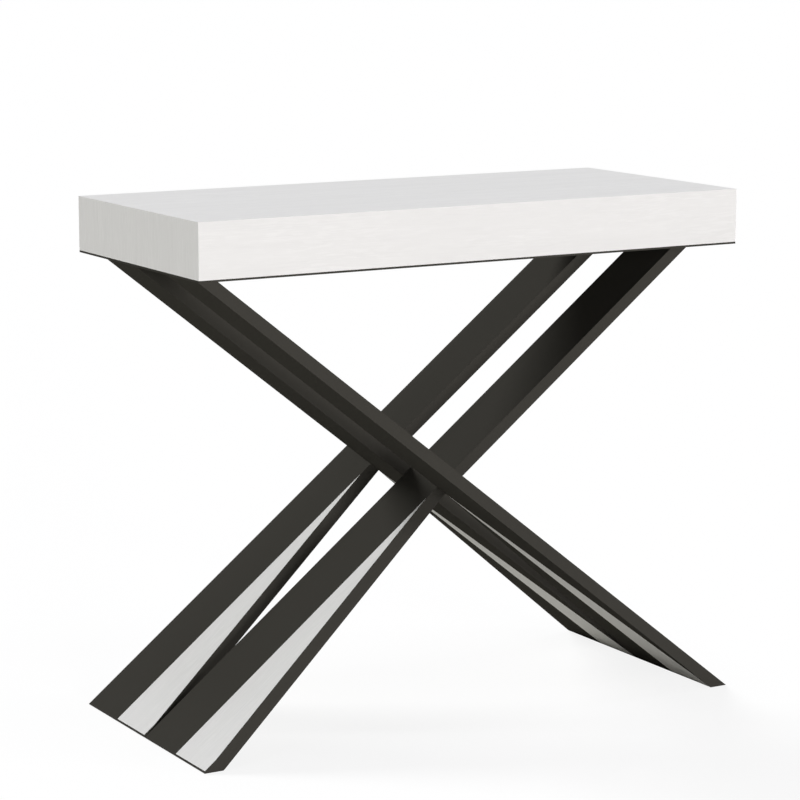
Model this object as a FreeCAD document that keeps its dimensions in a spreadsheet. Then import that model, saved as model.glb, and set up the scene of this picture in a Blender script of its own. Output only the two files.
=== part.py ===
import FreeCAD, Part
import os
import Sketcher

# Extending console table. Two identical halves, one turned half a turn from the other, stand on
# crossed legs and slide apart along Y on two banks of telescopic rails. Closed, the table is a
# slim console. X is the long side, Y the depth, Z is up, and the origin is on the floor below
# the table's centre. The front half lies on the -Y side. Sizes are in millimetres.

DIMENSIONS = (
    ("table_width", 900, "overall length along X"),
    ("table_depth", 400, "overall depth along Y, closed"),
    ("table_height", 774, "floor to table top"),
    ("seam_gap", 0.3, "gap between the closed halves"),
    ("box_height", 80, "height of the mitred top box"),
    ("board_thick", 18, "thickness of the box's boards"),
    ("plate_thick", 3, "thickness of the steel plate under the box"),
    ("leg_thick", 18, "thickness of a leg, square to its face"),
    ("foot_clear", 1, "leg end above the floor, which the pads fill"),
    ("foot_trim", 1, "how far a foot stops short of the half's edge"),
    ("inlay_depth", 4, "thickness of the white inlays"),
    ("inlay_border", 1, "dark border beside an inlay"),
    ("inlay_rim", 2, "dark rim below the upper inlay"),
    ("inlay_trim", 5, "upper inlay's toe from the foot's toe"),
    ("pad_radius", 5, "radius of a floor pad"),
    ("pad_sunk", 2, "depth of a pad's seat in the leg"),
    ("pad_inset", 22, "pad centre from the foot's side edge"),
    ("cross_pin_radius", 4, "radius of the dowel where two legs cross"),
    ("cross_pin_length", 60, "length of that dowel"),
    ("bolt_radius", 3, "shank radius of a leg bolt"),
    ("bolt_head_radius", 5.25, "head radius of a leg bolt"),
    ("bolt_head_height", 3.3, "head height of a leg bolt"),
    ("bolt_engage", 15, "depth of a bolt in the leg"),
    ("bolt_inset", 16, "bolt from the apron, and from the half's middle"),
    ("dowel_radius", 4, "radius of a seam dowel"),
    ("dowel_reach", 10, "how far a dowel stands out of its panel"),
    ("dowel_sunk", 20, "how deep a dowel is glued in"),
    ("dowel_clear", 0.3, "clearance round a dowel in its socket"),
    ("dowel_pitch", 300, "distance between seam dowels"),
    ("leaf_depth", 520, "depth of one loose leaf"),
    ("leaf_count", 3, "leaves laid in at full extension"),
    ("rail_width", 12, "width of one rail profile"),
    ("rail_height", 42, "height of one rail profile"),
    ("rail_gap", 0.5, "gap between neighbouring rails"),
    ("rail_top_clear", 1, "rails below the top panels"),
    ("rail_end_clear", 10, "rail end to apron"),
    ("slot_mouth", 10, "height of the slot's mouth"),
    ("slot_lip", 2.5, "thickness of the slot's lips"),
    ("slot_height", 22, "height of the slot inside"),
    ("slot_depth", 5, "depth of the slot behind its lips"),
    ("flute_height", 5, "height of the flutes in a rail's inner face"),
    ("flute_depth", 1, "depth of those flutes"),
    ("shoe_clear", 0.3, "running clearance of a shoe in its slot"),
    ("cap_thick", 3, "thickness of a rail's end cap"),
    ("stop_play", 1, "play between a shoe and the cap that stops it"),
    ("bracket_width", 30, "width of a rail bracket's upper flange"),
    ("bracket_thick", 3, "thickness of a rail bracket"),
    ("bracket_length", 150, "length of a rail bracket"),
    ("bracket_rise", 2, "bracket's lower edge above the rail's"),
    ("tie_width", 24, "width of a cross tie along Y"),
    ("tie_thick", 5.5, "thickness of a cross tie"),
    ("tie_drop", 1.5, "tie below the rails that pass over it"),
    ("tie_inset", 1, "tie's lug inside its rail's edges"),
    ("tie_pitch", 40, "spacing of the closed ties along Y"),
    ("overcut", 5, "how far a cutting outline passes the solid"),
)

# Places worked out from the driving sizes, as expressions of the sheet
HALF_WIDTH = "(dims.table_width / 2)"
HALF_DEPTH = "(dims.table_depth / 2)"
SEAM_FACE = "(dims.seam_gap / 2)"
BOX_BOTTOM = "(dims.table_height - dims.box_height)"
PANEL_UNDER = "(dims.table_height - dims.board_thick)"
INNER_WIDTH = f"({HALF_WIDTH} - dims.board_thick)"
INNER_DEPTH = f"({HALF_DEPTH} - dims.board_thick)"
PANEL_MID = "(dims.table_height - dims.board_thick / 2)"

# A leg is one strip of a quarter of the depth. It widens to a foot from just below the crossing,
# where it is clear of the other leg.
LEG_TOP = f"({BOX_BOTTOM} - dims.plate_thick)"
LEG_RISE = f"({LEG_TOP} - dims.foot_clear)"
STRIP = "((dims.table_depth - dims.seam_gap) / 4)"
MID_PLANE = "((dims.table_depth + dims.seam_gap) / 4)"
CROSS_HEIGHT = f"({LEG_TOP} / 2 + dims.foot_clear / 2)"
LEG_DIAGONAL = f"sqrt({LEG_RISE}^2 + dims.table_width^2 - dims.leg_thick^2)"
LEG_CUT = (
    f"(dims.leg_thick * ({LEG_RISE} * {LEG_DIAGONAL} - dims.leg_thick * dims.table_width)"
    f" / ({LEG_RISE}^2 - dims.leg_thick^2))"
)
LEG_LEAN = f"((dims.table_width - {LEG_CUT}) / {LEG_RISE})"
INLAY_CUT = f"({LEG_CUT} * dims.inlay_depth / dims.leg_thick)"
FOOT_WIDTH = f"({STRIP} - dims.foot_trim)"
FLARE_TOP = f"({CROSS_HEIGHT} - {LEG_CUT} / 2 / {LEG_LEAN})"
FOOT_KINK = f"({FLARE_TOP} * dims.foot_trim / {STRIP})"
INLAY_APEX = f"({FLARE_TOP} * (1 - dims.inlay_border / {STRIP}))"
INLAY_FOOT = "(dims.foot_clear + dims.inlay_rim)"
INLAY_WIDTH = f"({FOOT_WIDTH} - dims.inlay_trim)"
INLAY_KINK = f"({INLAY_APEX} - {FLARE_TOP} * {INLAY_WIDTH} / {STRIP})"

# The rails fill the box's clear depth. Members count from the end panel inwards: member 0 is
# fixed to the rear half and the last one to the front half.
MEMBERS = 7
RAIL_REACH = f"({INNER_DEPTH} - dims.rail_end_clear)"
RAIL_TOP = f"({PANEL_UNDER} - dims.rail_top_clear)"
RAIL_MID = f"({RAIL_TOP} - dims.rail_height / 2)"
RAIL_BOTTOM = f"({RAIL_TOP} - dims.rail_height)"
SLOT_REACH = f"({RAIL_REACH} - dims.cap_thick)"
SLIDE_TRAVEL = f"(dims.leaf_depth * dims.leaf_count / {MEMBERS - 1})"
SHOE_LENGTH = f"(2 * {SLOT_REACH} - 2 * dims.stop_play - {SLIDE_TRAVEL})"
TIE_TOP = f"({RAIL_BOTTOM} - dims.tie_drop)"

UP = FreeCAD.Vector(0, 0, 1)
LEVEL = FreeCAD.Rotation()
FACE_UP = FreeCAD.Rotation(FreeCAD.Vector(1, 0, 0), 90)
ALONG_Y = FreeCAD.Rotation(FreeCAD.Vector(1, 0, 0), -90)
FACE_LEFT = FreeCAD.Rotation(UP, -90)
FACE_RIGHT = FreeCAD.Rotation(UP, 90)

doc = FreeCAD.newDocument("console_table")
pieces = {}


def make_sheet():
    """The driving sizes, one row each: name, number and what it measures."""
    sheet = doc.addObject("Spreadsheet::Sheet", "dims")
    for row, (name, value, meaning) in enumerate(DIMENSIONS, start=1):
        sheet.set(f"A{row}", name)
        sheet.set(f"B{row}", str(value))
        sheet.setAlias(f"B{row}", name)
        sheet.set(f"C{row}", meaning)
    doc.recompute()


def bind(item, **expressions):
    """Tie properties of an object to expressions of the sheet."""
    for prop, expression in expressions.items():
        item.setExpression(prop, expression)


def keep(name, item):
    """Name a finished sub-part, which is written under that name."""
    item.Label = name
    pieces[name] = item
    return item


class Spot:
    """Where a half or a leg stands: turned half a turn or not, and shifted along Y."""

    def __init__(self, turned, shift="0"):
        self.sign = -1 if turned else 1
        self.turn = FreeCAD.Rotation(UP, 180 if turned else 0)
        self.shift = shift

    def place(self, item, x="0", y="0", z="0", tilt=LEVEL):
        """Set an object's placement from a place in the front half's or front leg's frame."""
        item.Placement = FreeCAD.Placement(FreeCAD.Vector(), self.turn * tilt)
        item.setExpression("Placement.Base.x", f"{self.sign} * ({x})")
        item.setExpression("Placement.Base.y", f"{self.sign} * ({y}) + {self.shift}")
        item.setExpression("Placement.Base.z", z)
        return item


FRONT = Spot(turned=False)
REAR = Spot(turned=True)
LEG_SPOTS = {
    "front": {"outer": FRONT, "inner": Spot(True, f"-2 * {MID_PLANE}")},
    "rear": {"outer": REAR, "inner": Spot(False, f"2 * {MID_PLANE}")},
}


def outline(body, role, name, points, offset="0"):
    """A closed outline through points, given as pairs of expressions, on an origin plane."""
    plane = next(f for f in body.Origin.OriginFeatures if f.Role == role)
    sketch = body.newObject("Sketcher::SketchObject", name)
    sketch.AttachmentSupport = [(plane, "")]
    sketch.MapMode = "FlatFace"
    sketch.setExpression("AttachmentOffset.Base.z", offset)
    values = [[sketch.evalExpression(value) for value in point] for point in points]
    corners = [FreeCAD.Vector(float(across), float(up), 0) for across, up in values]
    count = len(corners)
    for i in range(count):
        sketch.addGeometry(Part.LineSegment(corners[i], corners[(i + 1) % count]))
    for i in range(count):
        sketch.addConstraint(Sketcher.Constraint("Coincident", i, 2, (i + 1) % count, 1))
    for i, (across, up) in enumerate(points):
        for kind, value, expression in (
            ("DistanceX", corners[i].x, across),
            ("DistanceY", corners[i].y, up),
        ):
            index = sketch.addConstraint(Sketcher.Constraint(kind, -1, 1, i, 1, value))
            sketch.setExpression(f"Constraints[{index}]", expression)
    return sketch


def pad(body, sketch, length):
    """A pad of the given length, half to each side of its sketch."""
    feature = body.newObject("PartDesign::Pad", sketch.Name + "_pad")
    feature.Profile = sketch
    feature.SideType = "Symmetric"
    feature.setExpression("Length", length)
    doc.recompute()
    return feature


def cut_through(body, sketch):
    """A pocket right through the body, to both sides of its sketch."""
    before = body.Shape.Volume
    feature = body.newObject("PartDesign::Pocket", sketch.Name + "_pocket")
    feature.Profile = sketch
    feature.Type = "ThroughAll"
    feature.SideType = "Symmetric"
    doc.recompute()
    if not body.Shape.Volume < before:
        raise RuntimeError(f"{sketch.Name} cuts nothing")
    return feature


def profile_bar(name, points, length, y="0"):
    """A bar of one section in the XZ plane, pulled along Y about the place y."""
    body = doc.addObject("PartDesign::Body", name)
    pad(body, outline(body, "XZ_Plane", name + "_section", points, f"-({y})"), length)
    return body


def cylinder(name, radius, height):
    """A round bar whose sizes follow the sheet."""
    item = doc.addObject("Part::Cylinder", name)
    bind(item, Radius=radius, Height=height)
    return item


def group(name, members):
    """Separate solids that share one node."""
    compound = doc.addObject("Part::Compound", name)
    compound.Links = members
    return compound


def seat(name, base, fittings):
    """A piece with a seat cut in it for each fitting that sits there."""
    cut = doc.addObject("Part::Cut", name)
    cut.Base = base
    cut.Tool = group(name + "_seats", fittings)
    return cut


# Legs

def under_face(height):
    """X of the outer leg's lower face at a height."""
    return f"(-{HALF_WIDTH} + ({LEG_TOP} - {height}) * {LEG_LEAN})"


def slanted_board(name, spot, section, front, back, waste):
    """A leaning board from front to back in Y, with a slanted edge cut by a YZ outline."""
    middle = f"(({front}) + ({back})) / 2"
    body = profile_bar(name, section, f"({back}) - ({front})", middle)
    cut_through(body, outline(body, "YZ_Plane", name + "_edge", waste))
    return spot.place(body)


def leg_blank(name, spot):
    """A leg: a strip from corner to corner whose lower half widens away from its own side."""
    floor = "dims.foot_clear"
    section = [
        (under_face(LEG_TOP), LEG_TOP),
        (f"{under_face(LEG_TOP)} + {LEG_CUT}", LEG_TOP),
        (f"{under_face(floor)} + {LEG_CUT}", floor),
        (under_face(floor), floor),
    ]
    edge = f"-{MID_PLANE}"
    toe = f"{edge} + {FOOT_WIDTH}"
    waste = [
        (edge, FLARE_TOP),
        (toe, FOOT_KINK),
        (f"{toe} + dims.overcut", FOOT_KINK),
        (f"{toe} + dims.overcut", f"{LEG_TOP} + dims.overcut"),
        (edge, f"{LEG_TOP} + dims.overcut"),
    ]
    return slanted_board(name, spot, section, f"-{HALF_DEPTH}", toe, waste)


def upper_inlay(name, spot):
    """The white wedge let into the foot's upper face, beside the strip."""
    outer = f"{under_face(INLAY_FOOT)} + {LEG_CUT}"
    outer_top = f"{under_face(CROSS_HEIGHT)} + {LEG_CUT}"
    section = [
        (outer, INLAY_FOOT),
        (outer_top, CROSS_HEIGHT),
        (f"{outer_top} - {INLAY_CUT}", CROSS_HEIGHT),
        (f"{outer} - {INLAY_CUT}", INLAY_FOOT),
    ]
    edge = f"-{MID_PLANE}"
    toe = f"{edge} + {INLAY_WIDTH}"
    waste = [
        (edge, INLAY_APEX),
        (toe, INLAY_KINK),
        (f"{toe} + dims.overcut", INLAY_KINK),
        (f"{toe} + dims.overcut", f"{CROSS_HEIGHT} + dims.overcut"),
        (edge, f"{CROSS_HEIGHT} + dims.overcut"),
    ]
    return slanted_board(name, spot, section, edge, toe, waste)


def lower_inlay(name, spot):
    """The white wedge let into the lower face of the strip, down to the floor end."""
    floor = "dims.foot_clear"
    section = [
        (under_face(floor), floor),
        (under_face(CROSS_HEIGHT), CROSS_HEIGHT),
        (f"{under_face(CROSS_HEIGHT)} + {INLAY_CUT}", CROSS_HEIGHT),
        (f"{under_face(floor)} + {INLAY_CUT}", floor),
    ]
    edge = f"-{MID_PLANE}"
    toe = f"-{HALF_DEPTH} + dims.inlay_border"
    waste = [
        (edge, INLAY_APEX),
        (toe, floor),
        (f"{toe} - dims.overcut", floor),
        (f"{toe} - dims.overcut", f"{CROSS_HEIGHT} + dims.overcut"),
        (edge, f"{CROSS_HEIGHT} + dims.overcut"),
    ]
    return slanted_board(name, spot, section, toe, edge, waste)


def floor_pads(name, spot):
    """Two nylon pads let into the end of a leg, in the middle of its thickness."""
    middle = "(dims.foot_clear + dims.pad_sunk / 2)"
    x = f"{HALF_WIDTH} - {LEG_CUT} / 2 - {middle} * {LEG_LEAN}"
    places = (
        f"-{HALF_DEPTH} + dims.pad_inset",
        f"-{MID_PLANE} + {FOOT_WIDTH} - dims.pad_inset",
    )
    height = "dims.foot_clear + dims.pad_sunk"
    pads = [cylinder(f"{name}_{i}", "dims.pad_radius", height) for i in range(2)]
    return [spot.place(item, x, y) for item, y in zip(pads, places)]


def leg_bolts(name, spot):
    """Two button-head bolts through the steel plate into the top of a leg."""
    x = f"-{HALF_WIDTH} + {LEG_CUT} / 2 + dims.bolt_engage / 2 * {LEG_LEAN}"
    places = (f"-{INNER_DEPTH} + dims.bolt_inset", f"-{MID_PLANE} - dims.bolt_inset")
    bolts = []
    for i, y in enumerate(places):
        shank_length = "dims.plate_thick + dims.bolt_engage + dims.bolt_head_height"
        shank = cylinder(f"{name}_shank_{i}", "dims.bolt_radius", shank_length)
        head = cylinder(f"{name}_head_{i}", "dims.bolt_head_radius", "dims.bolt_head_height")
        spot.place(shank, x, y, f"{LEG_TOP} - dims.bolt_engage")
        spot.place(head, x, y, BOX_BOTTOM)
        bolt = doc.addObject("Part::Fuse", f"{name}_{i}")
        bolt.Base = shank
        bolt.Tool = head
        bolts.append(bolt)
    return bolts


def build_legs(half, spot):
    """Two crossed legs with their inlays, pads, bolts and crossing dowel."""
    pin = cylinder(half + "_cross_pin", "dims.cross_pin_radius", "dims.cross_pin_length")
    spot.place(pin, "0", f"-{MID_PLANE} - dims.cross_pin_length / 2", CROSS_HEIGHT, ALONG_Y)
    keep(half + "_cross_pin", pin)
    pads = []
    bolts = []
    for which, leg_spot in LEG_SPOTS[half].items():
        name = f"{half}_{which}_leg"
        upper = upper_inlay(name + "_upper_inlay", leg_spot)
        lower = lower_inlay(name + "_lower_inlay", leg_spot)
        inlays = keep(name + "_inlays", group(name + "_inlays", [upper, lower]))
        own_pads = floor_pads(name + "_pad", leg_spot)
        own_bolts = leg_bolts(name + "_bolt", leg_spot)
        blank = leg_blank(name + "_blank", leg_spot)
        fittings = [inlays, pin] + own_pads + own_bolts
        keep(name, seat(name, blank, fittings))
        pads += own_pads
        bolts += own_bolts
    keep(half + "_floor_pads", group(half + "_floor_pads", pads))
    return keep(half + "_leg_bolts", group(half + "_leg_bolts", bolts))


# Top box

def mitred_board(name, spot, tilt, faces):
    """A board whose two faces differ by its mitres: each is depth, left, right, low, high."""
    (at, left, right, low, high), (at2, left2, right2, low2, high2) = faces
    board = doc.addObject("Part::Wedge", name)
    bind(board, Ymin=at, Xmin=left, Xmax=right, Zmin=low, Zmax=high)
    bind(board, Ymax=at2, X2min=left2, X2max=right2, Z2min=low2, Z2max=high2)
    return spot.place(board, tilt=tilt)


def seam_pins(name, radius, spot, start, length):
    """A row of three round pins across the seam, in the middle of the top panels."""
    pins = []
    for step in (-1, 0, 1):
        pin = cylinder(f"{name}_{step + 1}", radius, length)
        spot.place(pin, f"{step} * dims.dowel_pitch", start, PANEL_MID, ALONG_Y)
        pins.append(pin)
    return pins


def build_box(half, spot, bolts, seam_fittings):
    """The mitred box of one half, open at the seam, on its steel plate."""
    wide, inner = HALF_WIDTH, INNER_WIDTH
    top = "dims.table_height"
    panel = mitred_board(half + "_top_blank", spot, FACE_UP, (
        (PANEL_UNDER, f"-{inner}", inner, SEAM_FACE, INNER_DEPTH),
        (top, f"-{wide}", wide, SEAM_FACE, HALF_DEPTH),
    ))
    keep(half + "_top_panel", seat(half + "_top_panel", panel, seam_fittings))
    apron = mitred_board(half + "_apron", spot, LEVEL, (
        (f"-{HALF_DEPTH}", f"-{wide}", wide, BOX_BOTTOM, top),
        (f"-{INNER_DEPTH}", f"-{inner}", inner, BOX_BOTTOM, PANEL_UNDER),
    ))
    keep(half + "_apron", apron)
    left = mitred_board(half + "_left_end_blank", spot, FACE_LEFT, (
        (f"-{wide}", SEAM_FACE, HALF_DEPTH, BOX_BOTTOM, top),
        (f"-{inner}", SEAM_FACE, INNER_DEPTH, BOX_BOTTOM, PANEL_UNDER),
    ))
    right = mitred_board(half + "_right_end_blank", spot, FACE_RIGHT, (
        (f"-{wide}", f"-{HALF_DEPTH}", f"-{SEAM_FACE}", BOX_BOTTOM, top),
        (f"-{inner}", f"-{INNER_DEPTH}", f"-{SEAM_FACE}", BOX_BOTTOM, PANEL_UNDER),
    ))
    ends = (left, right) if spot.sign > 0 else (right, left)
    for side, blank in zip(("left", "right"), ends):
        name = f"{half}_{side}_end"
        keep(name, seat(name, blank, [bolts]))
    plate = doc.addObject("Part::Box", half + "_plate_blank")
    bind(plate, Length="dims.table_width", Height="dims.plate_thick")
    bind(plate, Width=f"{HALF_DEPTH} - {SEAM_FACE}")
    spot.place(plate, f"-{wide}", f"-{HALF_DEPTH}", LEG_TOP)
    keep(half + "_base_plate", seat(half + "_base_plate", plate, [bolts]))


# Telescopic rails. In their sections u runs inwards from a member's outer face.

def member_face(member):
    """Distance of a member's outer face from the table's middle."""
    pitch = "(dims.rail_width + dims.rail_gap)"
    return f"({INNER_WIDTH} - dims.bracket_width - {member} * {pitch})"


def section_points(member, side, points):
    """Points u, v of a member's section, v from the rail's mid height, as X and Z."""
    face = member_face(member)
    return [(f"{side} * ({face} - ({u}))", f"{RAIL_MID} + ({v})") for u, v in points]


def slotted_rail(name, member, side):
    """One extruded rail with a T-slot in its outer face and two flutes in its inner face."""
    wide, tall = "dims.rail_width", "dims.rail_height / 2"
    lip, mouth = "dims.slot_lip", "dims.slot_mouth / 2"
    deep, slot = "dims.slot_lip + dims.slot_depth", "dims.slot_height / 2"
    flute = "(dims.slot_height + dims.rail_height) / 4"
    flute_high = f"{flute} + dims.flute_height / 2"
    flute_low = f"{flute} - dims.flute_height / 2"
    bed = f"{wide} - dims.flute_depth"
    upper = [("0", mouth), ("0", tall), (wide, tall)]
    upper += [(wide, flute_high), (bed, flute_high), (bed, flute_low), (wide, flute_low)]
    lower = [(u, f"-({v})") for u, v in reversed(upper)]
    slot_low = [(lip, f"-({mouth})"), (lip, f"-({slot})"), (deep, f"-({slot})")]
    slot_high = [(deep, slot), (lip, slot), (lip, mouth)]
    points = section_points(member, side, upper + lower + slot_low + slot_high)
    return profile_bar(name, points, f"2 * {SLOT_REACH}")


def slide_shoe(name, member, side):
    """A nylon T-shoe on a rail's inner face, which runs in the next rail's slot."""
    clear = "dims.shoe_clear"
    root = "dims.rail_width"
    head = f"{root} + dims.rail_gap + dims.slot_lip + {clear}"
    tip = f"{root} + dims.rail_gap + dims.slot_lip + dims.slot_depth - {clear}"
    neck = f"dims.slot_mouth / 2 - {clear}"
    tall = f"dims.slot_height / 2 - {clear}"
    upper = [(root, neck), (head, neck), (head, tall), (tip, tall)]
    lower = [(u, f"-({v})") for u, v in reversed(upper)]
    points = section_points(member, side, upper + lower)
    middle = f"-{SLOT_REACH} + dims.stop_play + {SHOE_LENGTH} / 2"
    return profile_bar(name, points, SHOE_LENGTH, middle)


def end_cap(name, member, side, end):
    """A cap over one end of a rail, which also stops the shoe in its slot."""
    wide, tall = "dims.rail_width", "dims.rail_height / 2"
    corners = [("0", tall), (wide, tall), (wide, f"-{tall}"), ("0", f"-{tall}")]
    points = section_points(member, side, corners)
    middle = f"{end} * ({RAIL_REACH} - dims.cap_thick / 2)"
    return profile_bar(name, points, "dims.cap_thick", middle)


def cross_tie(name, member):
    """A flat bar below the rails that joins a member's left and right rail by two lugs."""
    outer = f"({member_face(member)} - dims.tie_inset)"
    inner = f"({member_face(member)} - dims.rail_width + dims.tie_inset)"
    low = f"{TIE_TOP} - dims.tie_thick"
    right = [(outer, low), (outer, RAIL_BOTTOM), (inner, RAIL_BOTTOM), (inner, TIE_TOP)]
    left = [(f"-{x}", z) for x, z in reversed(right)]
    middle = f"{MEMBERS // 2 - member} * dims.tie_pitch"
    return profile_bar(name, right + left, "dims.tie_width", middle)


def rail_bracket(name, member, side, u, inward, y):
    """An angle that hangs a rail from a top panel: it lies on the rail's face at u."""
    flange = f"{u} + {inward} * dims.bracket_width"
    web = f"{u} + {inward} * dims.bracket_thick"
    high = f"{PANEL_UNDER} - {RAIL_MID}"
    shelf = f"{high} - dims.bracket_thick"
    low = "dims.bracket_rise - dims.rail_height / 2"
    corners = [(u, low), (u, high), (flange, high), (flange, shelf), (web, shelf), (web, low)]
    points = section_points(member, side, corners)
    return profile_bar(name, points, "dims.bracket_length", y)


def build_rails():
    """Both banks of rails, with their shoes, caps, ties and brackets."""
    sides = (("left", -1), ("right", 1))
    last = MEMBERS - 1
    for member in range(MEMBERS):
        stem = f"rail_{member}"
        for side_name, side in sides:
            name = f"{stem}_{side_name}"
            keep(name, slotted_rail(name, member, side))
        if member < last:
            shoes = [slide_shoe(f"{stem}_shoe_{word}", member, side) for word, side in sides]
            keep(stem + "_shoes", group(stem + "_shoes", shoes))
        if member > 0:
            caps = [
                end_cap(f"{stem}_cap_{word}_{end + 1}", member, side, end)
                for word, side in sides
                for end in (-1, 1)
            ]
            keep(stem + "_caps", group(stem + "_caps", caps))
        if 0 < member < last:
            keep(f"{stem}_tie", cross_tie(f"{stem}_tie", member))
    y = f"({HALF_DEPTH} + {SEAM_FACE} - dims.board_thick) / 2"
    rear = [rail_bracket(f"rear_bracket_{word}", 0, side, "0", -1, y) for word, side in sides]
    keep("rear_rail_brackets", group("rear_rail_brackets", rear))
    front = [
        rail_bracket(f"front_bracket_{word}", last, side, "dims.rail_width", 1, f"-({y})")
        for word, side in sides
    ]
    keep("front_rail_brackets", group("front_rail_brackets", front))


def build_table():
    """All pieces of the closed table."""
    length = "dims.dowel_reach + dims.dowel_sunk"
    start = f"-{SEAM_FACE} - dims.dowel_sunk"
    dowels = group("seam_dowels", seam_pins("dowel", "dims.dowel_radius", REAR, start, length))
    keep("seam_dowels", dowels)
    deep = "dims.dowel_reach + dims.dowel_clear + dims.seam_gap"
    mouth = f"-{SEAM_FACE} - ({deep})"
    wide = "dims.dowel_radius + dims.dowel_clear"
    sockets = seam_pins("socket", wide, FRONT, mouth, f"{deep} + dims.overcut")
    for half, spot, fittings in (("front", FRONT, sockets), ("rear", REAR, [dowels])):
        bolts = build_legs(half, spot)
        build_box(half, spot, bolts, fittings)
    build_rails()


def write_pieces():
    """Check every object, then write each sub-part under its own name."""
    doc.recompute()
    for item in doc.Objects:
        if "Invalid" in item.State or "Error" in item.State:
            raise RuntimeError(f"{item.Label} failed: {item.State}")
    for name, item in pieces.items():
        if item.Shape.isNull() or not item.Shape.isValid() or not item.Shape.Solids:
            raise RuntimeError(f"{name} has no valid solid")
    os.makedirs("parts", exist_ok=True)
    for name, item in pieces.items():
        item.Shape.exportStep(f"parts/{item.Label}.step")
    print(len(pieces), "pieces written")


make_sheet()
build_table()
write_pieces()
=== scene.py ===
import math
from collections import namedtuple

import bmesh
import bpy
from mathutils import Matrix, Vector


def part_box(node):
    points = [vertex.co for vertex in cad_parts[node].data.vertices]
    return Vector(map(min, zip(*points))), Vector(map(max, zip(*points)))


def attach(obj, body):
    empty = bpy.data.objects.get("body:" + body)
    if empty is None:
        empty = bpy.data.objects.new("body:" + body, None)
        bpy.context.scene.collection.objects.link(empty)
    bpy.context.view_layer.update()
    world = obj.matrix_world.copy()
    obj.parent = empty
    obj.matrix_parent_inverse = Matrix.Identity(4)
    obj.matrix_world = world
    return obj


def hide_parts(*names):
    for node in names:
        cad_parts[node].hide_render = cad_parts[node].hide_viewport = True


# Looks of the extending console table: white ash boards and inlays, anthracite legs and plates,
# anodised telescopic rails, and the small fasteners. Lengths are in metres.

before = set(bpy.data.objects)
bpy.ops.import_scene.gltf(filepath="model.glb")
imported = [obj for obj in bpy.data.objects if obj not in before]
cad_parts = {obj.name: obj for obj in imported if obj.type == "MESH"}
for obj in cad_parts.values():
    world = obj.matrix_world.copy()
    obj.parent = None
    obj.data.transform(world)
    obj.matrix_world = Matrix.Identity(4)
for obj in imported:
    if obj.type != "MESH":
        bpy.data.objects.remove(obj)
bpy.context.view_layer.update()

HALVES = ("front", "rear")
SIDES = (("left", -1), ("right", 1))
STAGES = range(1, 6)
UP = Vector((0, 0, 1))
DOWN = Vector((0, 0, -1))

# Camera, fitted to the table's corners in an image of 800 x 800
CAMERA_PLACE = (-2.081, -3.557, 1.192)
CAMERA_YAW = math.radians(-30.09)
CAMERA_PITCH = math.radians(10.07)
CAMERA_LENS = 124.94
SENSOR = 36.0

# Floor: its width, the grey and the glow that are seen, and the colour of the light that it returns
FLOOR_SIZE = 400.0
FLOOR_SEEN = (0.15, 0.15, 0.15, 1)
FLOOR_GLOW = 0.87
FLOOR_BOUNCE = (0.69, 0.68, 0.63, 1)

# Even light from all round
AMBIENT = 0.10

# Lamps: where each one's light comes from, and its level on a face square to it
LAMP_SPREAD = math.radians(20)
KEY_FROM = Vector((-0.31, 0.785, 0.54))
KEY_LEVEL = 0.95
FRONT_FROM = Vector((-0.05, -0.99, 0.09))
FRONT_LEVEL = 0.53
SIDE_FROM = Vector((0.78, -0.62, 0.09))
SIDE_LEVEL = 0.49
TOP_FROM = Vector((0.0, 0.0, 1.0))
TOP_LEVEL = 0.165
ROSE = (1.0, 0.975, 0.992)
NEUTRAL = (1.0, 1.0, 1.0)
COOL = (0.92, 0.92, 1.0)

# Length along X of a leg's level cut, by which its box is longer than its slope
LEG_CUT = 0.029

# Fasteners: radius and height of the head, radius and length of the shank, drive in the head
Fastener = namedtuple("Fastener", "radius height shank length drive")
PLATE_SCREW = Fastener(radius=0.0042, height=0.0004, shank=0.0020, length=0.016, drive="cross")
BRACKET_SCREW = Fastener(radius=0.0042, height=0.0024, shank=0.0020, length=0.014, drive="cross")
RAIL_BOLT = Fastener(radius=0.0052, height=0.0030, shank=0.0025, length=0.005, drive="hex")
TIE_SCREW = Fastener(radius=0.0036, height=0.0020, shank=0.0016, length=0.014, drive="cross")
LEG_BOLT = Fastener(radius=0.00525, height=0.0033, shank=0.0030, length=0.018, drive="hex")

# Their forms: the head's outline as shares of its radius and height, the tip as shares of the
# shank's radius, the drives as shares of the head's radius and their depth as one of its height
HEAD_SIDES = 24
HEAD_OUTLINE = ((1.0, 0.0), (1.0, 0.35), (0.92, 0.72), (0.76, 1.0))
TIP_RADIUS = 0.7
TIP_LENGTH = 0.6
HEX_REACH = 0.48
CROSS_ARM = 0.55
CROSS_HALF_WIDTH = 0.13
DRIVE_DEPTH = 0.6

# Their places
LEG_BOLT_INSET = 0.016
APRON_SCREWS = 5
APRON_SCREW_SPAN = 0.76
BRACKET_THICK = 0.003
BRACKET_WIDTH = 0.030
BRACKET_SCREW_SPREAD = 0.05
TIE_SCREW_SPREAD = 0.006

# Points nearer than this count as one, or as lying in one plane
NEAR = 1e-7

# Turns that lay a pattern's length along an axis
ALONG_X = (0, 0, 0)
ALONG_Y = (0, 0, math.radians(90))
ALONG_Z = (0, math.radians(90), 0)

# White ash: how far its grain wanders, and how far its tone lies towards the darker colour; the
# inlays' further darkening is painted shade that offsets the light bounced up onto them from the
# floor
ASH_DRIFT = (0.0, 0.022, 0.022)
ASH_DEPTH = 0.05
INLAY_PAINTED_SHADE = 0.27

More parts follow.
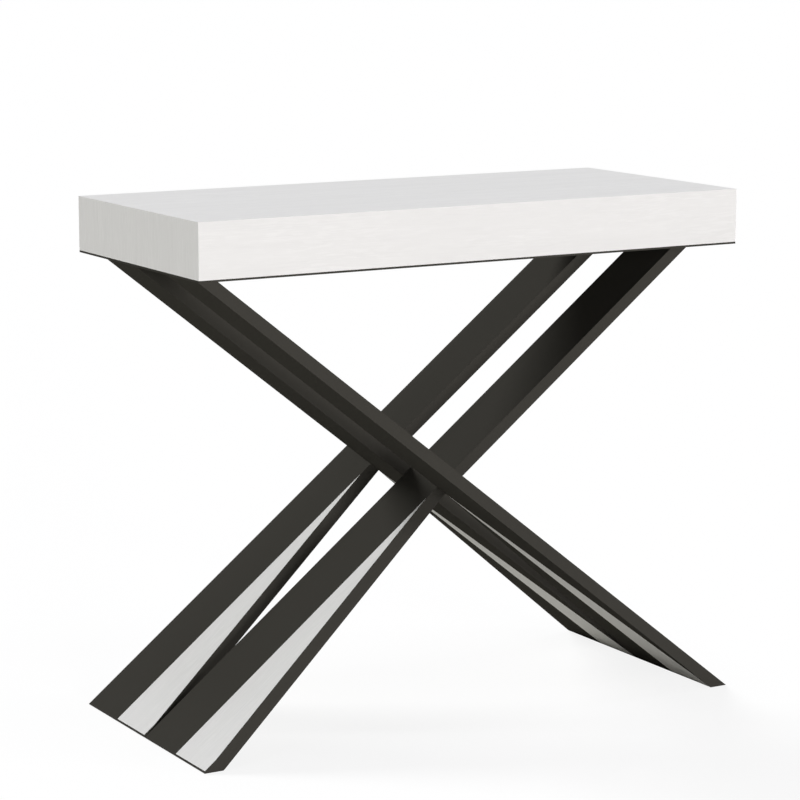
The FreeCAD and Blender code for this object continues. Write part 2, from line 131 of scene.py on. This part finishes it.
# Colours, linear
WHITE = (1.0, 1.0, 1.0, 1)
ASH_LIGHT = (0.885, 0.885, 0.875, 1)
ASH_DARK = (0.766, 0.766, 0.754, 1)
ANTHRACITE = (0.0508, 0.0486, 0.0424, 1)
ANTHRACITE_SOFT = (0.0566, 0.0542, 0.0474, 1)
ALUMINIUM = (0.440, 0.448, 0.460, 1)
ALUMINIUM_DULL = (0.340, 0.348, 0.360, 1)
ZINC = (0.420, 0.425, 0.430, 1)
ZINC_DULL = (0.320, 0.325, 0.335, 1)
NYLON_BLACK = (0.020, 0.020, 0.021, 1)
NYLON_BLACK_SOFT = (0.030, 0.030, 0.031, 1)
NYLON_GREY = (0.330, 0.330, 0.320, 1)
NYLON_GREY_SOFT = (0.380, 0.380, 0.370, 1)
BEECH = (0.600, 0.430, 0.270, 1)
BEECH_FLECK = (0.420, 0.270, 0.150, 1)


class Value:
    """A socket of a node tree. Arithmetic on it adds Math nodes."""

    def __init__(self, finish, socket):
        self.finish = finish
        self.socket = socket

    def __add__(self, other):
        return self.finish.math("ADD", self, other)

    def __sub__(self, other):
        return self.finish.math("SUBTRACT", self, other)

    def __rsub__(self, other):
        return self.finish.math("SUBTRACT", other, self)

    def __mul__(self, other):
        return self.finish.math("MULTIPLY", self, other)

    def __pow__(self, other):
        return self.finish.math("POWER", self, other)

    __radd__ = __add__
    __rmul__ = __mul__


class Finish:
    """A node tree under construction, for a material or the world."""

    def __init__(self, owner):
        owner.use_nodes = True
        self.owner = owner
        self.tree = owner.node_tree
        self.tree.nodes.clear()

    def node(self, kind, settings=None, inputs=None, output=0):
        """Add a node: its settings first, then the values or links of its sockets."""
        made = self.tree.nodes.new(kind)
        for name, value in (settings or {}).items():
            if name == "stops":
                for stop, (position, shade) in zip(made.color_ramp.elements, value):
                    stop.position = position
                    stop.color = (shade, shade, shade, 1)
            else:
                setattr(made, name, value)
        for name, value in (inputs or {}).items():
            if isinstance(value, Value):
                self.tree.links.new(value.socket, made.inputs[name])
            else:
                made.inputs[name].default_value = value
        return Value(self, made.outputs[output]) if len(made.outputs) else None

    def math(self, operation, first, second=0.0):
        """One Math node on two values or numbers."""
        return self.node("ShaderNodeMath", {"operation": operation}, {0: first, 1: second})

    def place(self, turn=ALONG_X):
        """The surface's place on the object, turned so that X runs along the grain."""
        place = self.node("ShaderNodeTexCoord", output="Object")
        return self.node("ShaderNodeMapping", None, {"Vector": place, "Rotation": turn})

    def noise(self, place, along, across, detail=2.0, roughness=0.5):
        """Noise with features of 1/along metres by 1/across metres."""
        scaled = self.node(
            "ShaderNodeVectorMath",
            {"operation": "MULTIPLY"},
            {0: place, 1: (along, across, across)},
        )
        sizes = {"Vector": scaled, "Scale": 1.0, "Detail": detail, "Roughness": roughness}
        return self.node("ShaderNodeTexNoise", None, sizes)

    def ramp(self, value, low, high):
        """The value spread from 0 at low to 1 at high."""
        stops = ((low, 0.0), (high, 1.0))
        return self.node("ShaderNodeValToRGB", {"stops": stops}, {"Fac": value})

    def mix(self, factor, first, second):
        """A colour between two colours."""
        settings = {"data_type": "RGBA"}
        return self.node("ShaderNodeMix", settings, {0: factor, 6: first, 7: second}, output=2)

    def bump(self, height, distance, strength):
        """A normal from a height, whose full range is the given distance."""
        sizes = {"Height": height, "Distance": distance, "Strength": strength}
        return self.node("ShaderNodeBump", None, sizes)

    def surface(self, shader):
        """Make a shader the tree's surface."""
        kind = "World" if isinstance(self.owner, bpy.types.World) else "Material"
        self.node(f"ShaderNodeOutput{kind}", None, {"Surface": shader})
        return self.owner

    def principled(self, **sockets):
        """Close the tree with a Principled shader; socket names have _ for spaces."""
        named = {name.replace("_", " "): value for name, value in sockets.items()}
        return self.surface(self.node("ShaderNodeBsdfPrincipled", None, named))


def new_finish(name):
    """An empty material of that name."""
    return Finish(bpy.data.materials.new(name))


# Finishes

def white_ash(name, turn, depth=ASH_DEPTH):
    """White ash decor: clusters of short pale flecks, streaks and pores along a drifting grain."""
    finish = new_finish(name)
    straight = finish.place(turn)
    drift = finish.noise(straight, 2.5, 6.0)
    wander = {0: drift, 1: ASH_DRIFT, 2: straight}
    place = finish.node("ShaderNodeVectorMath", {"operation": "MULTIPLY_ADD"}, wander)
    swell = finish.noise(place, 0.8, 7.0)
    figure = (finish.math("SINE", swell * 95.0) * 0.5 + 0.5) ** 3.0
    bands = finish.noise(place, 1.6, 34.0, detail=3.0)
    streaks = finish.noise(place, 22.0, 330.0, detail=3.0, roughness=0.6)
    clusters = finish.ramp(finish.noise(place, 5.0, 30.0), 0.30, 0.60)
    flecks = finish.ramp(finish.noise(place, 34.0, 380.0, detail=1.0), 0.51, 0.59) * clusters
    pores = finish.ramp(finish.noise(place, 30.0, 1000.0, detail=1.0), 0.58, 0.70)
    open_pores = pores * (figure * 0.6 + 0.4)
    broad = figure * 0.07 + bands * 0.30
    fine = streaks * 0.28 + open_pores * 0.16 - flecks * 0.21
    # depth darkens the whole tone; on the inlays it is painted shade
    tone = broad + fine + depth
    height = 1.0 - open_pores * 0.6 - streaks * 0.4
    return finish.principled(
        Base_Color=finish.mix(tone, ASH_LIGHT, ASH_DARK),
        Roughness=tone * 0.20 + 0.50,
        Specular_IOR_Level=0.0,
        Normal=finish.bump(height, 0.00008, 0.35),
    )


def anthracite_lacquer(name):
    """Matt anthracite lacquer with a fine orange peel and slight clouding."""
    finish = new_finish(name)
    place = finish.place()
    cloud = finish.noise(place, 6.0, 6.0, detail=3.0)
    peel = finish.noise(place, 420.0, 420.0, detail=1.0)
    grain = finish.noise(place, 1500.0, 1500.0, detail=1.0)
    return finish.principled(
        Base_Color=finish.mix(cloud * 0.6 + grain * 0.4, ANTHRACITE, ANTHRACITE_SOFT),
        Roughness=cloud * 0.10 + peel * 0.06 + 0.60,
        Specular_IOR_Level=0.0,
        Normal=finish.bump(peel * 0.7 + grain * 0.3, 0.00006, 0.25),
    )


def powder_coat(name):
    """Anthracite powder coat on steel, with its fine pebbled grain."""
    finish = new_finish(name)
    place = finish.place()
    pebble = finish.noise(place, 900.0, 900.0)
    cloud = finish.noise(place, 9.0, 9.0)
    return finish.principled(
        Base_Color=finish.mix(pebble * 0.7 + cloud * 0.3, ANTHRACITE, ANTHRACITE_SOFT),
        Roughness=pebble * 0.12 + 0.58,
        Specular_IOR_Level=0.0,
        Normal=finish.bump(pebble, 0.00010, 0.35),
    )


def drawn_aluminium(name):
    """Anodised extrusion: die lines along the profile, which lies along Y."""
    finish = new_finish(name)
    place = finish.place(ALONG_Y)
    lines = finish.noise(place, 3.0, 1400.0, detail=3.0, roughness=0.6)
    bloom = finish.noise(place, 14.0, 40.0)
    return finish.principled(
        Base_Color=finish.mix(lines * 0.6 + bloom * 0.4, ALUMINIUM, ALUMINIUM_DULL),
        Metallic=1.0,
        Roughness=lines * 0.16 + bloom * 0.08 + 0.28,
        Normal=finish.bump(lines, 0.00003, 0.30),
    )


def zinc_plate(name):
    """Zinc-plated steel with a faint crystal spangle and rolling marks."""
    finish = new_finish(name)
    place = finish.place()
    cells = {"Vector": place, "Scale": 160.0}
    crystal = finish.node("ShaderNodeTexVoronoi", None, cells, output="Color")
    spangle = finish.node("ShaderNodeRGBToBW", None, {"Color": crystal})
    marks = finish.noise(place, 40.0, 500.0)
    return finish.principled(
        Base_Color=finish.mix(spangle * 0.6 + marks * 0.4, ZINC, ZINC_DULL),
        Metallic=1.0,
        Roughness=spangle * 0.14 + marks * 0.08 + 0.28,
        Normal=finish.bump(marks, 0.00003, 0.25),
    )


def moulded_nylon(name, colour, soft_colour):
    """Moulded nylon with a fine spark-eroded grain."""
    finish = new_finish(name)
    place = finish.place()
    grain = finish.noise(place, 1300.0, 1300.0)
    flow = finish.noise(place, 60.0, 60.0)
    return finish.principled(
        Base_Color=finish.mix(flow * 0.6 + grain * 0.4, colour, soft_colour),
        Roughness=grain * 0.14 + 0.48,
        Normal=finish.bump(grain, 0.00005, 0.30),
    )


def beech_dowel(name):
    """Beech with its short dark flecks along Y."""
    finish = new_finish(name)
    place = finish.place(ALONG_Y)
    fleck = finish.ramp(finish.noise(place, 160.0, 1100.0, detail=1.0), 0.58, 0.68)
    fibres = finish.noise(place, 20.0, 500.0, detail=3.0)
    return finish.principled(
        Base_Color=finish.mix(fleck * 0.6 + fibres * 0.3, BEECH, BEECH_FLECK),
        Roughness=fibres * 0.15 + 0.50,
        Normal=finish.bump(fibres - fleck, 0.00006, 0.30),
    )


def leg_angle():
    """Angle of a leg below the level, from its box."""
    low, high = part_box("front_outer_leg")
    return math.atan2(high.z - low.z, high.x - low.x - LEG_CUT)


def dress_nodes(zinc):
    """Give each CAD node its finish, with the ash grain along each board."""
    fall = leg_angle()
    ash_long = white_ash("white_ash_long", ALONG_X)
    ash_upright = white_ash("white_ash_upright", ALONG_Z)
    # The inlays get painted shade: their ash is darkened to offset the floor's bounce light on them
    ash_fall_right = white_ash("painted_shade_ash_fall_right", (0, -fall, 0), INLAY_PAINTED_SHADE)
    ash_fall_left = white_ash("painted_shade_ash_fall_left", (0, fall, 0), INLAY_PAINTED_SHADE)
    lacquer = anthracite_lacquer("anthracite_lacquer")
    coat = powder_coat("anthracite_powder_coat")
    aluminium = drawn_aluminium("rail_aluminium")
    black = moulded_nylon("black_nylon", NYLON_BLACK, NYLON_BLACK_SOFT)
    grey = moulded_nylon("grey_nylon", NYLON_GREY, NYLON_GREY_SOFT)
    beech = beech_dowel("beech_dowel")
    by_ending = (
        ("_top_panel", ash_long),
        ("_apron", ash_long),
        ("_end", ash_upright),
        ("front_outer_leg_inlays", ash_fall_right),
        ("rear_inner_leg_inlays", ash_fall_right),
        ("front_inner_leg_inlays", ash_fall_left),
        ("rear_outer_leg_inlays", ash_fall_left),
        ("_leg", lacquer),
        ("_base_plate", coat),
        ("_left", aluminium),
        ("_right", aluminium),
        ("_tie", aluminium),
        ("_rail_brackets", zinc),
        ("_leg_bolts", zinc),
        ("_shoes", grey),
        ("_caps", black),
        ("_floor_pads", black),
        ("_cross_pin", zinc),
        ("seam_dowels", beech),
    )
    for name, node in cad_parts.items():
        finish = next(finish for ending, finish in by_ending if name.endswith(ending))
        node.data.materials.clear()
        node.data.materials.append(finish)


# Fasteners

def hex_recess(radius):
    """Cutting planes of a hexagon socket, and the test for a face inside it."""
    reach = radius * HEX_REACH
    turns = [math.radians(60 * k) for k in range(6)]
    normals = [Vector((math.cos(turn), math.sin(turn), 0)) for turn in turns]
    return [(n * reach, n) for n in normals], lambda middle: middle.to_2d().length < reach / 2


def cross_recess(radius):
    """Cutting planes of a cross recess, and the test for a face inside it."""
    arm = radius * CROSS_ARM
    half = radius * CROSS_HALF_WIDTH
    axes = (Vector((1, 0, 0)), Vector((0, 1, 0)))
    planes = [(axis * at, axis) for axis in axes for at in (-arm, -half, half, arm)]

    def inside(middle):
        near, far = sorted((abs(middle.x), abs(middle.y)))
        return near < half and far < arm

    return planes, inside


def flat_top(bm):
    """The faces that lie at the top of a mesh."""
    top = max(v.co.z for v in bm.verts)
    return [f for f in bm.faces if all(v.co.z > top - NEAR for v in f.verts)]


def turned_fastener(radius, height, shank, length, drive):
    """A screw along Z with its head's underside at 0, its shank below and a recess on top."""
    bm = bmesh.new()
    profile = [
        (0.0, -length),
        (shank * TIP_RADIUS, -length),
        (shank, -length + shank * TIP_LENGTH),
        (shank, 0.0),
    ]
    profile += [(radius * across, height * up) for across, up in HEAD_OUTLINE]
    points = [bm.verts.new((across, 0.0, up)) for across, up in profile]
    edges = [bm.edges.new(pair) for pair in zip(points, points[1:])]
    bmesh.ops.spin(
        bm, geom=points + edges, cent=(0, 0, 0), axis=UP, angle=math.tau,
        steps=HEAD_SIDES, use_merge=True,
    )
    bmesh.ops.remove_doubles(bm, verts=bm.verts[:], dist=NEAR)
    bmesh.ops.holes_fill(bm, edges=[e for e in bm.edges if e.is_boundary], sides=0)
    planes, inside = hex_recess(radius) if drive == "hex" else cross_recess(radius)
    for place, normal in planes:
        faces = flat_top(bm)
        rim = [e for f in faces for e in f.edges] + [v for f in faces for v in f.verts]
        geometry = faces + list(dict.fromkeys(rim))
        bmesh.ops.bisect_plane(bm, geom=geometry, dist=NEAR, plane_co=place, plane_no=normal)
    pocket = [f for f in flat_top(bm) if inside(f.calc_center_median())]
    sunk = bmesh.ops.extrude_face_region(bm, geom=pocket)["geom"]
    floor = [item for item in sunk if isinstance(item, bmesh.types.BMVert)]
    bmesh.ops.translate(bm, verts=floor, vec=DOWN * height * DRIVE_DEPTH)
    bmesh.ops.recalc_face_normals(bm, faces=bm.faces[:])
    return bm


def fastener_piece(name, body, finish, size, places):
    """One piece of equal fasteners, each at a place and facing outward from it."""
    joined = bmesh.new()
    mesh = bpy.data.meshes.new(name)
    for place, outward in places:
        single = turned_fastener(*size)
        turn = Vector(outward).to_track_quat("Z", "X").to_matrix().to_4x4()
        move = Matrix.Translation(Vector(place)) @ turn
        bmesh.ops.transform(single, verts=single.verts[:], matrix=move)
        single.to_mesh(mesh)
        single.free()
        joined.from_mesh(mesh)
    joined.to_mesh(mesh)
    joined.free()
    mesh.materials.append(finish)
    piece = bpy.data.objects.new(name, mesh)
    bpy.context.scene.collection.objects.link(piece)
    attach(piece, body)
    return piece


def middle_of(node):
    """The middle of a node's box."""
    low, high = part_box(node)
    return (low + high) / 2


def plate_screws(half, finish):
    """Countersunk screws through the base plate into the apron and the free part of each end."""
    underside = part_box(f"{half}_base_plate")[0].z
    apron = middle_of(f"{half}_apron")
    step = APRON_SCREW_SPAN / (APRON_SCREWS - 1)
    row = [k * step - APRON_SCREW_SPAN / 2 for k in range(APRON_SCREWS)]
    places = [((x, apron.y, underside), DOWN) for x in row]
    for side, sign in SIDES:
        low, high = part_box(f"{half}_{side}_end")
        middle = (low + high) / 2
        free = middle.y - sign * (high.y - low.y) / 4
        places.append(((middle.x, free, underside), DOWN))
    fastener_piece(f"{half}_plate_screws", f"{half}_half", finish, PLATE_SCREW, places)


def leg_bolts(half, finish):
    """Hexagon socket bolts through the base plate into each leg, in place of the plain ones."""
    node = f"{half}_leg_bolts"
    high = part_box(node)[1]
    middle = middle_of(node)
    x = high.x - LEG_BOLT.radius
    z = high.z - LEG_BOLT.height
    far = high.y - LEG_BOLT.radius - middle.y
    places = []
    for _, sign in SIDES:
        for inset in (LEG_BOLT_INSET, far):
            places.append(((sign * x, middle.y + sign * inset, z), UP))
    piece = fastener_piece(f"{half}_socket_bolts", f"{half}_half", finish, LEG_BOLT, places)
    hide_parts(node)


def bracket_fasteners(half, rail, outward, finish):
    """Screws of a half's rail brackets into the top, and bolts into the rail beside them.

    The brackets stand outside the rails where outward is 1, and between them where it is -1.
    """
    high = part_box(f"{half}_rail_brackets")[1]
    centre = middle_of(f"{half}_rail_brackets")
    bolted_side = max if outward > 0 else min
    screws = []
    bolts = []
    for side, sign in SIDES:
        low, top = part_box(f"{rail}_{side}")
        face = bolted_side(sign * low.x, sign * top.x)
        web = face + outward * BRACKET_THICK
        flange = (web + face + outward * BRACKET_WIDTH) / 2
        for spread in (-BRACKET_SCREW_SPREAD, BRACKET_SCREW_SPREAD):
            y = centre.y + spread
            screws.append(((sign * flange, y, high.z - BRACKET_THICK), DOWN))
            bolts.append(((sign * web, y, (low.z + top.z) / 2), (sign * outward, 0, 0)))
    body = f"{half}_half"
    fastener_piece(f"{half}_bracket_screws", body, finish, BRACKET_SCREW, screws)
    fastener_piece(f"{half}_rail_bolts", body, finish, RAIL_BOLT, bolts)


def tie_screws(stage, finish):
    """Screws up through the ends of a stage's tie into its rails."""
    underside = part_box(f"rail_{stage}_tie")[0].z
    tie = middle_of(f"rail_{stage}_tie")
    places = []
    for side, _ in SIDES:
        rail = middle_of(f"rail_{stage}_{side}")
        for spread in (-TIE_SCREW_SPREAD, TIE_SCREW_SPREAD):
            places.append(((rail.x, tie.y + spread, underside), DOWN))
    fastener_piece(f"rail_{stage}_tie_screws", f"stage_{stage}", finish, TIE_SCREW, places)


def build_fasteners(zinc):
    """All screws and bolts that the solids leave out or hold in a plain form."""
    for half in HALVES:
        plate_screws(half, zinc)
        leg_bolts(half, zinc)
    bracket_fasteners("rear", "rail_0", 1, zinc)
    bracket_fasteners("front", "rail_6", -1, zinc)
    for stage in STAGES:
        tie_screws(stage, zinc)


# Studio

def lamp(name, come_from, level, colour):
    """A distant soft lamp that lights a face square to it by the given level.

    Metal mirrors the bright surroundings and not the lamp, which would burn out on it.
    """
    light = bpy.data.lights.new(name, "SUN")
    light.energy = level * math.pi
    light.angle = LAMP_SPREAD
    light.color = colour
    lamp_object = bpy.data.objects.new(name, light)
    lamp_object.rotation_euler = come_from.to_track_quat("Z", "Y").to_euler()
    lamp_object.visible_glossy = False
    bpy.context.scene.collection.objects.link(lamp_object)


def seen_rays(finish):
    """1 for rays that show the background: from the camera, and off metal and gloss."""
    names = ("Is Camera Ray", "Is Glossy Ray", "Is Transmission Ray")
    camera, glossy, through = (finish.node("ShaderNodeLightPath", output=name) for name in names)
    return finish.math("MINIMUM", camera + glossy + through, 1.0)


def build_world():
    """White where it is seen, and an even soft light elsewhere."""
    world = bpy.data.worlds.new("studio_world")
    bpy.context.scene.world = world
    finish = Finish(world)
    level = seen_rays(finish) * (1.0 - AMBIENT) + AMBIENT
    light = finish.node("ShaderNodeBackground", None, {"Color": WHITE, "Strength": level})
    finish.surface(light)


def build_floor():
    """A plain white floor that keeps a soft shadow, and shows nothing from below."""
    bm = bmesh.new()
    bmesh.ops.create_grid(bm, x_segments=1, y_segments=1, size=FLOOR_SIZE / 2)
    mesh = bpy.data.meshes.new("floor")
    bm.to_mesh(mesh)
    bm.free()
    floor = bpy.data.objects.new("floor", mesh)
    bpy.context.scene.collection.objects.link(floor)
    finish = new_finish("studio_floor")
    bounce = finish.node("ShaderNodeBsdfDiffuse", None, {"Color": FLOOR_BOUNCE})
    shadow = finish.node("ShaderNodeBsdfDiffuse", None, {"Color": FLOOR_SEEN})
    glow = finish.node("ShaderNodeEmission", None, {"Color": WHITE, "Strength": FLOOR_GLOW})
    white = finish.node("ShaderNodeAddShader", None, {0: shadow, 1: glow})
    top = finish.node("ShaderNodeMixShader", None, {0: seen_rays(finish), 1: bounce, 2: white})
    clear = finish.node("ShaderNodeBsdfTransparent")
    below = finish.node("ShaderNodeNewGeometry", output="Backfacing")
    both = finish.node("ShaderNodeMixShader", None, {0: below, 1: top, 2: clear})
    mesh.materials.append(finish.surface(both))


def build_camera():
    """The photograph's view."""
    data = bpy.data.cameras.new("camera")
    data.sensor_width = SENSOR
    data.lens = CAMERA_LENS
    camera = bpy.data.objects.new("camera", data)
    camera.location = CAMERA_PLACE
    camera.rotation_euler = (math.radians(90) - CAMERA_PITCH, 0, CAMERA_YAW)
    bpy.context.scene.collection.objects.link(camera)
    bpy.context.scene.camera = camera


zinc_finish = zinc_plate("zinc_plate")
dress_nodes(zinc_finish)
build_fasteners(zinc_finish)
build_world()
build_floor()
lamp("key_lamp", KEY_FROM, KEY_LEVEL, NEUTRAL)
lamp("front_lamp", FRONT_FROM, FRONT_LEVEL, ROSE)
lamp("side_lamp", SIDE_FROM, SIDE_LEVEL, ROSE)
lamp("top_lamp", TOP_FROM, TOP_LEVEL, COOL)
build_camera()
bpy.context.scene.view_settings.view_transform = "Standard"
